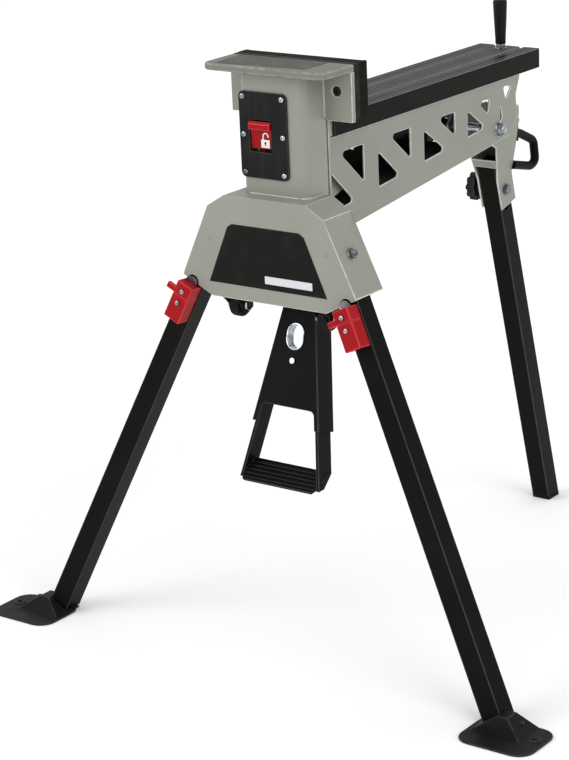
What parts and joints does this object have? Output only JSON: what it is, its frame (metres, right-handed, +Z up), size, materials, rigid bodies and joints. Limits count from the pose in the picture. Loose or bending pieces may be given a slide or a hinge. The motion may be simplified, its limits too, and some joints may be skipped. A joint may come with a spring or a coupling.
{
  "type": "portable clamping workbench",
  "caption": "Folding three-legged clamping bench: fixed jaw on a column, sliding rail on a lattice beam, foot pedal, leg latches and an adjustable rear leg.",
  "frame": {"origin": "on the floor, at the middle of the footprint's box", "axes": "+Z up; the beam runs rearward along +Y from the jaw's column; +X is the right seen from the front"},
  "size_m": [0.9604, 0.886, 0.8645],
  "materials": {
    "grey_paint": "warm grey powder coat",
    "black_paint": "satin black powder coat",
    "black_plastic": "matt moulded black",
    "black_rubber": "matt black",
    "black_backing": "black coat on a steel backing plate",
    "black_steel": "black oxide",
    "red_plastic": "moulded red",
    "label_film": "dark film, bare",
    "nylon": "natural nylon",
    "bright_steel": "bright zinc plate",
    "plain_steel": "plain steel"
  },
  "bodies": {
    "stand": {"column": "grey_paint", "top_plate": "grey_paint", "jaw_wings": "grey_paint", "jaw_pad_base": "black_backing", "jaw_pad_face": "black_rubber", "jaw_pad_bolts": "black_steel", "switch_plate": "black_plastic", "switch_plate_screws": "bright_steel", "cowl_shell": "grey_paint", "cowl_rear_plate": "grey_paint", "cowl_label": "label_film", "cowl_rivets": "grey_paint", "leg_hinge_cheeks": "grey_paint", "leg_pivot_bolts": "bright_steel", "beam_end_plate": "grey_paint", "beam_side_left": "grey_paint", "beam_side_right": "grey_paint", "beam_tray": "black_paint", "rail_runners": "nylon", "hold_block": "plain_steel", "pedal_hanger": "grey_paint", "pedal_pivot_pin": "plain_steel", "pedal_return_springs": "plain_steel", "rear_pivot_bolt": "bright_steel", "roller_brackets": "black_paint", "roller_bolts": "bright_steel"},
    "lock_rocker": {"lock_rocker": "red_plastic"},
    "release_rod": {"release_rod": "plain_steel"},
    "rail": {"rail": "black_paint", "draw_bar": "plain_steel", "handle_stud": "bright_steel"},
    "grip": {"grip_handle": "black_plastic"},
    "pedal": {"pedal_arm": "black_paint", "pedal_lever": "plain_steel", "pedal_foot": "black_paint", "pedal_bolt": "bright_steel", "pedal_sleeve": "bright_steel"},
    "drive": {"pull_rod": "plain_steel", "drive_plate": "plain_steel"},
    "transport_roller_left": {"transport_roller_left": "black_plastic"},
    "transport_roller_right": {"transport_roller_right": "black_plastic"},
    "front_leg_left": {"front_leg_left": "black_paint", "foot_plate_left": "black_paint", "latch_track_left": "plain_steel"},
    "front_leg_right": {"front_leg_right": "black_paint", "foot_plate_right": "black_paint", "latch_track_right": "plain_steel"},
    "latch_left": {"latch_slider_left": "red_plastic", "latch_cover_left": "red_plastic", "latch_stud_left": "bright_steel"},
    "latch_right": {"latch_slider_right": "red_plastic", "latch_cover_right": "red_plastic", "latch_stud_right": "bright_steel"},
    "rear_bracket": {"rear_bracket": "grey_paint", "loop_handle": "black_paint", "loop_handle_bolt": "bright_steel", "clamp_bolt": "bright_steel"},
    "rear_leg": {"rear_leg": "black_paint", "rear_foot_cap": "black_rubber"},
    "clamp_knob": {"clamp_knob": "black_plastic"}
  },
  "joints": [
    {"name": "front_leg_fold_left", "type": "hinge", "parent": "stand", "child": "front_leg_left", "pos_m": [-0.1242, -0.297, 0.612], "axis": [0.9018, 0, -0.4321], "range_deg": [0, 95]},
    {"name": "front_leg_fold_right", "type": "hinge", "parent": "stand", "child": "front_leg_right", "pos_m": [0.1242, -0.297, 0.612], "axis": [0.9018, 0, 0.4321], "range_deg": [0, 95]},
    {"name": "latch_pull_left", "type": "slide", "parent": "front_leg_left", "child": "latch_left", "axis": [-0.4298, -0.1019, -0.8971], "range_m": [0, 0.012], "stiffness_N_per_m": 400, "springref_m": -0.01},
    {"name": "latch_pull_right", "type": "slide", "parent": "front_leg_right", "child": "latch_right", "axis": [0.4298, -0.1019, -0.8971], "range_m": [0, 0.012], "stiffness_N_per_m": 400, "springref_m": -0.01},
    {"name": "rear_leg_fold", "type": "hinge", "parent": "stand", "child": "rear_bracket", "pos_m": [0, 0.208, 0.68], "axis": [1, 0, 0], "range_deg": [-50, 0]},
    {"name": "rear_leg_length", "type": "slide", "parent": "rear_bracket", "child": "rear_leg", "axis": [0, -0.2521, 0.9677], "range_m": [-0.03, 0.03]},
    {"name": "clamp_knob_turn", "type": "hinge", "parent": "rear_bracket", "child": "clamp_knob", "pos_m": [-0.034, 0.27872, 0.56718], "axis": [1, 0, 0], "continuous": true},
    {"name": "pedal_press", "type": "hinge", "parent": "stand", "child": "pedal", "pos_m": [0, -0.185, 0.69], "axis": [1, 0, 0], "range_deg": [0, 22], "stiffness_Nm_per_rad": 4, "springref_deg": -57.3},
    {"name": "drive_pull", "type": "slide", "parent": "stand", "child": "drive", "axis": [0, -1, 0], "range_m": [0, 0.02]},
    {"name": "rail_slide", "type": "slide", "parent": "stand", "child": "rail", "axis": [0, 1, 0], "range_m": [0, 0.24]},
    {"name": "grip_spin", "type": "hinge", "parent": "rail", "child": "grip", "pos_m": [0, 0.302, 0.8], "axis": [0, 0, 1], "continuous": true},
    {"name": "lock_rocker_press", "type": "hinge", "parent": "stand", "child": "lock_rocker", "pos_m": [-0.019, -0.29, 0.764], "axis": [-1, 0, 0], "range_deg": [0, 18]},
    {"name": "release_pull", "type": "slide", "parent": "stand", "child": "release_rod", "axis": [0, -1, 0], "range_m": [0, 0.0071], "stiffness_N_per_m": 150, "springref_m": -0.01},
    {"name": "roller_spin_left", "type": "hinge", "parent": "stand", "child": "transport_roller_left", "pos_m": [-0.077, -0.29, 0.5135], "axis": [1, 0, 0], "continuous": true},
    {"name": "roller_spin_right", "type": "hinge", "parent": "stand", "child": "transport_roller_right", "pos_m": [0.077, -0.29, 0.5135], "axis": [1, 0, 0], "continuous": true}
  ],
  "couplings": [
    {"joint": "drive_pull", "follows": "pedal_press", "m_per_rad": 0.051681},
    {"joint": "lock_rocker_press", "follows": "release_pull", "rad_per_m": 43.658}
  ]
}
